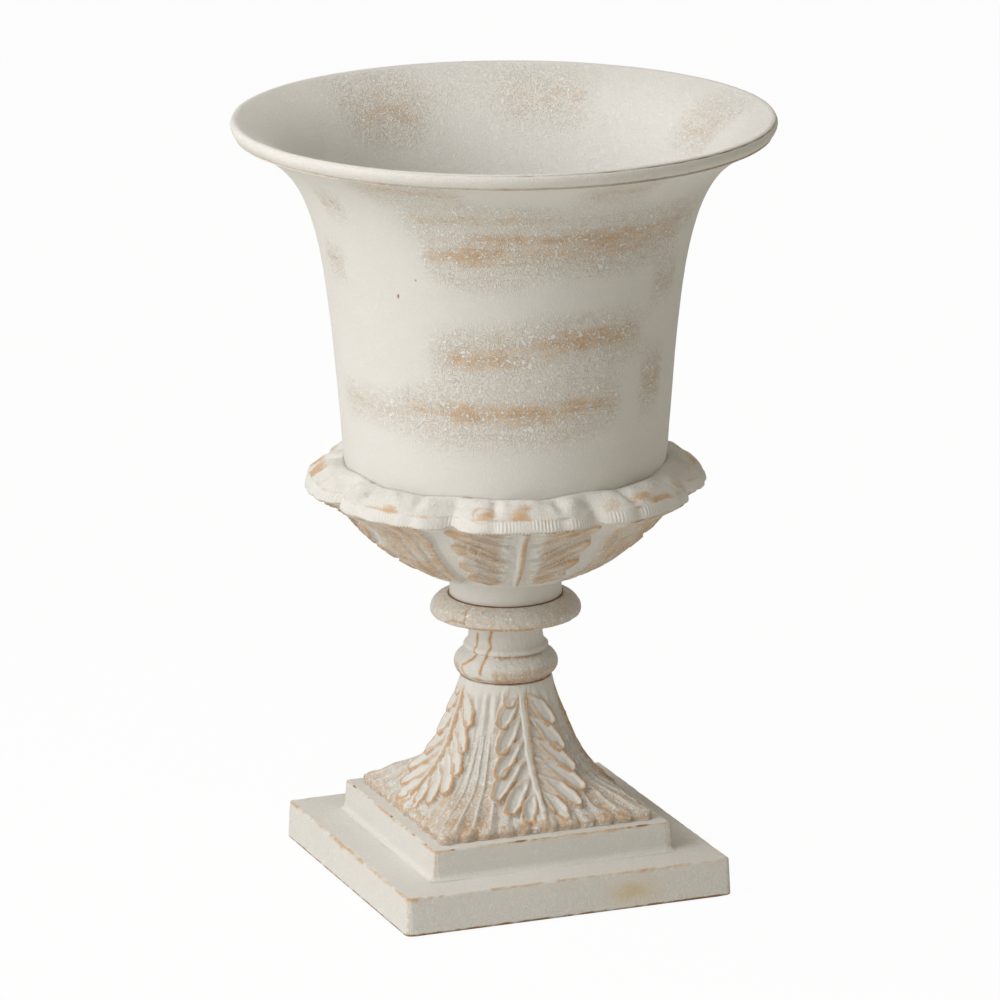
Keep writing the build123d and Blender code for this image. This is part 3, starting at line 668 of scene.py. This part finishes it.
# Profile down the flare: level, half the width across the flats, and distance to the corner
flare_levels = np.array([91.6, 88.0, 84.0, 78.0, 70.0, 60.6, 52.4, 46.2, 42.6, 40.4, 37.7, 36.0,
                         34.8])
flare_halves = np.array([20.2, 20.2, 20.3, 20.9, 23.2, 26.5, 31.2, 36.1, 39.7, 42.2, 46.6, 49.8,
                         51.0])
flare_ridges = np.array([20.3, 21.0, 22.0, 23.6, 26.8, 31.3, 36.7, 43.5, 52.0, 59.0, 67.5, 71.2,
                         72.1])
leg = np.hypot(np.diff(flare_levels), np.diff(flare_halves))
stations = np.concatenate([[0], np.cumsum(leg)])


def smooth_through(x, xs, ys):
    """Value at x of a smooth line through the given points."""
    tangents = np.gradient(ys, xs)
    i = np.clip(np.searchsorted(xs, x, side="right") - 1, 0, len(xs) - 2)
    span = xs[i + 1] - xs[i]
    t = (x - xs[i]) / span
    return ((2 * t ** 3 - 3 * t ** 2 + 1) * ys[i] + (t ** 3 - 2 * t ** 2 + t) * span * tangents[i]
            + (3 * t ** 2 - 2 * t ** 3) * ys[i + 1] + (t ** 3 - t ** 2) * span * tangents[i + 1])


row_station = np.linspace(0, stations[-1], flare_rows)
row_level = smooth_through(row_station, stations, flare_levels)
row_half = smooth_through(row_station, stations, flare_halves)
row_ridge = smooth_through(row_station, stations, flare_ridges)
flare_end = [(foot_half, 33.6), (foot_half, 32.4), (foot_half, 31.2)]
flare_under = [(44, 31.2), (36, 31.2), (36, 27.0), (32.5, 35.5), (26.8, 50), (20.9, 65),
               (13.5, 83.6), (bore, 83.6), (bore, 91.6)]
flare = turned("foot_flare", list(zip(row_half, row_level)) + flare_end + flare_under, flare_steps)
ring = rings_of(flare)
spot = places_of(flare)
out, azimuth, turn = about_axis(spot)
is_skin = ring < flare_rows + len(flare_end)
at_foot = is_skin & (ring >= flare_rows)
row = np.clip(ring, 0, flare_rows - 1)
half, ridge = row_half[row], row_ridge[row]
level = np.where(at_foot, spot[:, 2], row_level[row])
# Plan of each level: a square whose corners are rounded, less and less on the way down
side_turn = np.radians(beside_leaf(azimuth, -90, 4))
corner = np.clip((half * 2 ** 0.5 - ridge) / (2 ** 0.5 - 1), 0.4, half)
flat = half * np.tan(np.abs(side_turn)) <= half - corner
cs, sn = np.cos(side_turn), np.sin(np.abs(side_turn))
inner_half = half - corner
round_square = corner ** 2 - inner_half ** 2 * (cs - sn) ** 2
round_part = inner_half * (cs + sn) + np.sqrt(np.maximum(round_square, 0))
base_out = np.where(flat, half / cs, round_part)
lateral = base_out * np.sin(side_turn)
s = row_station[row] - 4.4
# Corner leaves: broad worn bands parted by thin raised ribs that fan out towards the corner
corner_off = foot_half - foot_half * np.tan(np.abs(side_turn)) + 0.6 * uneven(spot, 9, 61)
fan = fade(s, 12, 30)
thin_rib = 0.7 * mound(corner_off, 31.5, 1.1)
for at in (4.8, 13.6, 23.4):
    thin_rib = np.maximum(thin_rib, mound(corner_off, at, 0.9 + 0.3 * at / 13))
corner_rise = (thin_rib_height * thin_rib - thin_rib_sink) * fan
fold = 0.55 * np.cos(corner_off / foot_half * 6 * pi) * (1 - fade(s, 12, 26)) * fade(s, -3, 4)
corner_rise = corner_rise + fold
away_from_face = fade(np.abs(lateral) / half, 0.3, 0.6)
corner_rub = (1 - fade(thin_rib, 0.1, 0.7)) * fan * (0.56 + 0.2 * uneven(spot, 14, 62))
corner_rub *= fade(s, 24, 52) * away_from_face
corner_rub += 0.25 * np.clip(fold, 0, 1) * fade(uneven(spot, 9, 63), 0, 0.8)
# Scalloped ends of the corner leaves, standing over the step
off = np.abs((corner_off + 1.5 * uneven(spot, 16, 68)) / scallop_pitch % 1 - 0.5) * 2
shorten = (0.4 + 1.3 * off ** 2 + 0.6 * uneven(spot, 4, 69)) * fade(s, 50, 60)
# Face leaf: a finger's tip, aside and along, and how far along its root lies
finger_tips = [
    (11.2, 13.2, 0), (14.0, 25.0, 10), (17.6, 35.6, 20), (20.0, 45.2, 29), (16.4, 53.4, 37),
    (9.2, 60.0, 45), (-6.0, 3.0, -6), (-9.8, 12.5, 0), (-11.6, 23.9, 10), (-14.4, 34.8, 20),
    (-18.4, 45.3, 29), (-14.4, 54.0, 38), (-8.0, 60.0, 46),
]
u = lateral + 0.25 * uneven(spot, 6, 64)
s_now = s + 0.25 * uneven(spot, 6, 65)
leaf_height = np.full(len(spot), -9.0)
leaf_rub = np.zeros(len(spot))
leaf_body = np.zeros(len(spot))
for tip_u, tip_s, root_s in finger_tips:
    root_u = 1.2 if tip_u > 0 else -1.2
    bend_u, bend_s = root_u + 0.55 * (tip_u - root_u), root_s + 0.42 * (tip_s - root_s)
    best, where_on = np.full(len(spot), 99.0), np.zeros(len(spot))
    for (au, a_s, start), (bu, b_s, end) in (((root_u, root_s, 0), (bend_u, bend_s, 0.5)),
                                             ((bend_u, bend_s, 0.5), (tip_u, tip_s, 1))):
        du, ds = bu - au, b_s - a_s
        part = np.clip(((u - au) * du + (s_now - a_s) * ds) / (du * du + ds * ds), 0, 1)
        away = np.hypot(u - au - part * du, s_now - a_s - part * ds)
        closer = away < best
        best = np.where(closer, away, best)
        where_on = np.where(closer, start + (end - start) * part, where_on)
    half_width = 1.4 + 2.6 * fade(where_on, 0.0, 0.6) - 0.6 * fade(where_on, 0.8, 1.0)
    inside = half_width - best
    rim = fade(inside, -0.35, 0.7)
    hollow = fade(inside, 1.4, 2.7) * fade(where_on, 0.12, 0.35)
    rise = finger_rise * rim - finger_dish * hollow
    on_top = (rise > leaf_height) & (inside > -0.35)
    leaf_height = np.where(on_top, rise, leaf_height)
    edge_tan = (1 - fade(np.abs(inside - 0.7), 0.55, 1.15)) * (0.35 + 0.6 * where_on)
    leaf_rub = np.where(on_top, edge_tan, leaf_rub)
    leaf_body = np.maximum(leaf_body, rim)
# Body of the leaf, which the fingers stand out from, and its spine
body_s = np.array([-8, 0, 7, 15.5, 23, 31, 39, 46, 56, 61.5])
body_half = np.array([2.4, 4.4, 6.2, 8.0, 9.6, 11.4, 11.2, 10.8, 7.5, 3.5])
body_edge = np.abs(u) - smooth_through(np.clip(s_now, -8, 61.5), body_s, body_half)
plate = (1 - fade(body_edge, -0.8, 0.5)) * fade(s, -7, -2)
leaf_height = np.maximum(leaf_height, plate_rise * plate)
leaf_body = np.maximum(leaf_body, plate)
spine_half = 1.5 - 0.5 * fade(s, 20, 62)
spine = (1 - fade(np.abs(u), spine_half - 0.3, spine_half + 0.9)) * fade(s, -6, -1)
leaf_height = np.maximum(leaf_height, spine_rise * spine)
spine_rub = 0.75 * fade(u, -0.3, 0.5) * (1 - fade(u, spine_half + 0.5, spine_half + 1.1))
leaf_rub = np.where(spine > 0.35, spine_rub, leaf_rub)
# The higher of the two leaves shows, pushed out square to the flare's slope
fade_top = 0.15 + 0.85 * fade(s, -4.4, 15)
leaf_over = np.maximum(leaf_height, corner_rise) * fade_top
rise = np.where(leaf_height > 0, leaf_over, corner_rise) + 0.1 * uneven(spot, 4, 66)
slope_out = np.gradient(row_half, row_station)[row]
slope_up = -np.gradient(row_level, row_station)[row]
norm_out = slope_up / np.hypot(slope_out, slope_up)
norm_up = slope_out / np.hypot(slope_out, slope_up)
end_part = fade(s, 57, 59.5)
push_out = rise * norm_out * (1 - end_part)
push_up = rise * norm_up * (1 - 0.6 * end_part)
new_out = base_out + push_out / cs - shorten / cs
new_out = np.where(at_foot, (foot_half - shorten) / cs, new_out)
new_level = np.where(at_foot, spot[:, 2], level + push_up)
scale = np.where(is_skin, np.minimum(new_out, foot_limit / cs) / out, 1)
spot[:, :2] *= scale[:, None]
spot[:, 2] = np.where(is_skin, new_level, spot[:, 2])
rub_now = np.where(leaf_body > 0.4, leaf_rub * fade(s, -4, 2), corner_rub)
end_rub = fade(s, 59.5, 61.5) * (0.55 + 0.35 * uneven(spot, 7, 67))
rub_now = np.where(is_skin, np.maximum(rub_now, end_rub), 0)
rub_now = np.where(at_foot, 0.75 * fade(spot[:, 2], 31.3, 32.3), rub_now)
grain_now = 0.3 + 0.7 * (1 - leaf_body) * fade(s, 2, 30)
line_now = np.where(is_skin & (ring <= 0), 0.4, 0.0)
finished(flare, spot, rub_now, line_now, grain_now, 0.0, "foot")

# Step and plinth: two square tiers cast with the flare, with straight sides, a slight draft and
# rubbed edges that show the tan. Both are hollow underneath.
step_outline = [
    (59.6, 18.2), (58.6, 18.5), (57.9, 19.1), (57.3, 20.0), (57.05, 21.3), (56.95, 22.5),
    (56.8, 24.5), (56.65, 26.5), (56.55, 28.3), (56.45, 29.8), (56.4, 30.6), (56.2, 31.1),
    (55.7, 31.45), (55.0, 31.5), (34, 31.5), (34, 26.5), (52.1, 26.5), (52.1, 18.2),
]
plinth_outline = [
    (76.9, 1.0), (77.3, 1.25), (77.45, 1.7), (77.4, 2.6), (77.3, 4.5), (77.15, 7.5),
    (77.0, 10.5), (76.85, 13.5), (76.7, 15.6), (76.65, 16.8), (76.5, 17.6), (76.1, 18.05),
    (75.4, 18.2), (52.1, 18.2), (52.1, 13.2), (72.5, 13.2), (72.5, 1.0),
]
cut_spacing = 2.4
edge_cuts = (0.35, 0.7, 1.1, 1.6, 2.2, 3.0)
skin_depth = 22
knock_depth = 0.22


def tier(name, outline):
    """Square tier: a closed outline, half sides against heights, spun in four steps and cut into
    a grid that is finer near the edges."""
    made = bmesh.new()
    corners = [made.verts.new((h * 2 ** 0.5 * mm, 0, z * mm)) for h, z in outline]
    sides = [made.edges.new((corners[i - 1], corners[i])) for i in range(len(corners))]
    bmesh.ops.spin(made, geom=corners + sides, cent=(0, 0, 0), axis=(0, 0, 1), dvec=(0, 0, 0),
                   angle=2 * pi, steps=4, use_merge=True, use_duplicate=False)
    bmesh.ops.remove_doubles(made, verts=made.verts, dist=touching)
    bmesh.ops.rotate(made, verts=made.verts, cent=(0, 0, 0), matrix=Matrix.Rotation(pi / 4, 3, "Z"))
    reach = max(h for h, z in outline)
    cuts = [reach - d for d in edge_cuts]
    cuts = cuts + [-c for c in cuts] + list(np.arange(-reach + 5, reach - 4, cut_spacing))
    for at in cuts:
        for way in ((1, 0, 0), (0, 1, 0)):
            bmesh.ops.bisect_plane(made, geom=all_of(made), dist=1e-7,
                                   plane_co=Vector(way) * at * mm, plane_no=way)
    bmesh.ops.recalc_face_normals(made, faces=made.faces)
    return piece_from(made, name)


for name, outline, radius, top_level, low_level, edge_width in (
        ("foot_step", step_outline, 1.3, 31.5, 19.5, 0.75),
        ("foot_plinth", plinth_outline, 2.4, 18.2, 1.0, 1.0)):
    block = tier(name, outline)
    spot = places_of(block)
    reach = np.maximum(np.abs(spot[:, 0]), np.abs(spot[:, 1]))
    edge_half = max(h for h, z in outline if z > top_level - 3)
    # Square corners drawn in to a round of the given radius
    past = np.abs(spot[:, :2]) - (edge_half - radius)
    both_past = (past.min(1) > 0) & (reach > edge_half - radius)
    pull = past.max(1) / np.maximum(np.hypot(past[:, 0], past[:, 1]), 1e-6)
    rounded = np.sign(spot[:, :2]) * (edge_half - radius + past * pull[:, None])
    spot[:, :2] = np.where(both_past[:, None], rounded, spot[:, :2])
    skin = reach > edge_half - skin_depth
    # Distance from the top edge, and from the upright corner edges
    to_edge = np.hypot(edge_half - np.minimum(reach, edge_half),
                       top_level - np.minimum(spot[:, 2], top_level))
    second = np.minimum(np.abs(spot[:, 0]), np.abs(spot[:, 1]))
    to_corner = np.where(reach > edge_half - 1.2, edge_half - second, 99)
    ragged = 0.55 * uneven(spot, 7, 71) + 0.35 * uneven(spot, 3, 72)
    along_edge = fade(ragged + 0.5 * uneven(spot, 30, 75), -0.9, 0.4)
    rub_now = 1 - fade(to_edge + 0.8 * ragged, 0.6 * edge_width, 2.1 * edge_width)
    rub_now = 0.85 * rub_now * along_edge
    rub_now = np.maximum(rub_now, 0.4 * (1 - fade(to_corner + 0.8 * ragged, 0.5, 1.8)))
    # A brown line under the plinth's foot, and a dotted one along the step's top edge
    if name == "foot_plinth":
        line_now = np.where(spot[:, 2] < 1.7, 0.5 + 0.3 * ragged, 0)
    else:
        line_now = np.where(to_edge < 0.8, 0.22 + 0.4 * uneven(spot, 3, 76), 0)
    # Knocked and worn edges, and heights that wave a little
    knock = knock_depth * np.clip(-uneven(spot, 5, 73), 0, 1) * (1 - fade(to_edge, 0.5, 2.5))
    spot[:, :2] *= (1 - knock / np.maximum(reach, 1))[:, None]
    sink = 0.1 * (uneven(spot, 24, 74) - 1) - 0.5 * knock
    spot[:, 2] += np.where(skin & (spot[:, 2] > low_level + 3), sink, 0)
    # Yellowish stain at the right of the plinth's front
    stain_now = np.exp(-((spot[:, 0] - 29.8) / 11) ** 2 - ((spot[:, 2] - 8.5) / 4.5) ** 2)
    stain_now = stain_now * (spot[:, 1] < -70) * 0.9
    finished(block, spot, np.where(skin, rub_now, 0), np.where(skin, line_now, 0), 0.35,
             stain_now, "foot")

# Rod, nuts and washers: bright zinc-plated steel of the stock kind. They pull the four castings
# together through their middle, and a rubber ring under the top washer keeps water in.
thread_pitch = 1.25


def coated(finish, *node_names):
    """Puts a finish on solids that show as they are."""
    for node_name in node_names:
        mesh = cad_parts[node_name].data
        mesh.materials.clear()
        mesh.materials.append(finish)


# Plate on nuts and washers: spangle of 2 mm and fine turning marks
zinc, tree, place = new_finish("zinc_plated_steel")
spangle = noise(tree, place, 480, 3)
tone = tinted(tree, spangle, linear("#C9CDD2"), linear("#A9ABAE"))
marks = bumped(tree, noise(tree, place, 2600), 0.03 * mm)
surfaced(tree, {"Base Color": tone, "Metallic": 1, "Normal": marks,
                "Roughness": ranged(tree, spangle, 0, 1, 0.28, 0.45)})
coated(zinc, "cap_nut", "top_washer", "bridge_washer", "spring_washer", "hex_nut")
# Threaded rod: the same plate over an M8 thread
threaded, tree, place = new_finish("zinc_plated_thread")
spangle = noise(tree, place, 480, 3)
tone = tinted(tree, spangle, linear("#C4C8CD"), linear("#A2A4A7"))
height = add(tree, "SeparateXYZ", {}, {0: place}).outputs[2]
thread = bumped(tree, figured(tree, "PINGPONG", height, thread_pitch / 2 * mm), 1)
surfaced(tree, {"Base Color": tone, "Metallic": 1, "Roughness": 0.35, "Normal": thread})
coated(threaded, "tie_rod")

# Sealing washer: black rubber, moulded and matt, with a bloom of lighter dust. It is squeezed
# between the top washer and the floor of the bell.
rubber, tree, place = new_finish("black_rubber")
tone = tinted(tree, noise(tree, place, 300, 3), linear("#1F1F20"), linear("#33322F"))
moulded = bumped(tree, noise(tree, place, 3000), 0.05 * mm)
surfaced(tree, {"Base Color": tone, "Roughness": 0.7, "Normal": moulded})
coated(rubber, "sealing_washer")

# Base felt: brown-grey pressed wool felt, a flat sheet glued over the hollow foot. Its hairs
# stand 0.35 mm high.
felt, tree, place = new_finish("pressed_felt")
hairs = noise(tree, place, 1400, 4, distortion=2.5)
tone = tinted(tree, hairs, linear("#5E554B"), linear("#7A6F62"))
nap = bumped(tree, hairs, 0.35 * mm)
surfaced(tree, {"Base Color": tone, "Roughness": 0.95, "Normal": nap, "Sheen Weight": 0.3})
coated(felt, "base_felt")

# Floor and light: a plain pale floor that keeps the shadow and looks white to the camera, and
# soft light from the upper left. Distances here are in metres.
yaw = radians(21.465)
pure_white = (1, 1, 1, 1)
floor_glow, room_strength = 0.965, 0.31
floor_made = bmesh.new()
bmesh.ops.create_grid(floor_made, x_segments=4, y_segments=4, size=6)
floor = piece_from(floor_made, "floor")
pale = bpy.data.materials.new("pale_floor")
tree = empty_tree(pale)
matt_floor = add(tree, "BsdfDiffuse", {}, {"Color": linear("#F2F1EE")}).outputs[0]
glow = add(tree, "Emission", {}, {"Color": pure_white, "Strength": 1.0}).outputs[0]
seen = add(tree, "LightPath", {}, {}).outputs["Is Camera Ray"]
seen = figured(tree, "MULTIPLY", seen, floor_glow)
both = add(tree, "MixShader", {}, {0: seen, 1: matt_floor, 2: glow}).outputs[0]
add(tree, "OutputMaterial", {}, {"Surface": both})
floor.data.materials.append(pale)

world = bpy.data.worlds.new("soft_room")
bpy.context.scene.world = world
tree = empty_tree(world)
rays = add(tree, "LightPath", {}, {}).outputs
seen = figured(tree, "MAXIMUM", rays["Is Camera Ray"], rays["Is Glossy Ray"])
seen = figured(tree, "MAXIMUM", seen, rays["Is Transmission Ray"])
room_light = {"Color": linear("#FFF5E1"), "Strength": room_strength}
room = add(tree, "Background", {}, room_light).outputs[0]
paper = add(tree, "Background", {}, {"Color": pure_white, "Strength": 1.0}).outputs[0]
both = add(tree, "MixShader", {}, {0: seen, 1: room, 2: paper}).outputs[0]
add(tree, "OutputWorld", {}, {"Surface": both})


def lamp(name, aside, back, up, power, size, aim_height):
    """Square soft lamp placed as the camera sees it: aside, towards the camera and up."""
    light = bpy.data.lights.new(name, "AREA")
    light.energy, light.size = power, size
    piece = bpy.data.objects.new(name, light)
    bpy.context.scene.collection.objects.link(piece)
    lamp_x = aside * cos(yaw) - back * sin(yaw)
    lamp_y = -aside * sin(yaw) - back * cos(yaw)
    piece.location = (lamp_x, lamp_y, up)
    aim = Vector((0, 0, aim_height)) - piece.location
    piece.rotation_euler = aim.to_track_quat("-Z", "Y").to_euler()


lamp("key", -1.35, 1.0, 0.95, 13.5, 1.1, 0.12)
lamp("overhead", -0.75, 0.5, 1.6, 13, 1.6, 0.1)

# Camera: the place and the angle that the photograph was taken from, worked out from the rim,
# the tiers' corners and the axis. Distances are in metres, the lens and its sensor in millimetres.
lift, roll = radians(15.4115), radians(-0.2269)
camera_away, looked_at = 3.0393, 0.18
shift_right, shift_up = 0.0022718, 0.0082315
lens_length, sensor_width = 246.51, 36
ahead = Vector((0, cos(lift), -sin(lift)))
level_right = Vector((1, 0, 0))
level_up = level_right.cross(ahead)
right = cos(roll) * level_right + sin(roll) * level_up
upward = -sin(roll) * level_right + cos(roll) * level_up
eye = Vector((0, 0, looked_at)) - camera_away * ahead - shift_right * right - shift_up * upward
to_row = Matrix.Rotation(-yaw, 3, "Z")
lens_data = bpy.data.cameras.new("camera")
lens_data.sensor_width = sensor_width
lens_data.lens = lens_length
lens_data.clip_start, lens_data.clip_end = 0.1, 50
camera = bpy.data.objects.new("camera", lens_data)
bpy.context.scene.collection.objects.link(camera)
basis = Matrix((to_row @ right, to_row @ upward, to_row @ -ahead)).transposed()
camera.matrix_world = Matrix.Translation(to_row @ eye) @ basis.to_4x4()
bpy.context.scene.camera = camera
bpy.context.scene.view_settings.view_transform = "Standard"
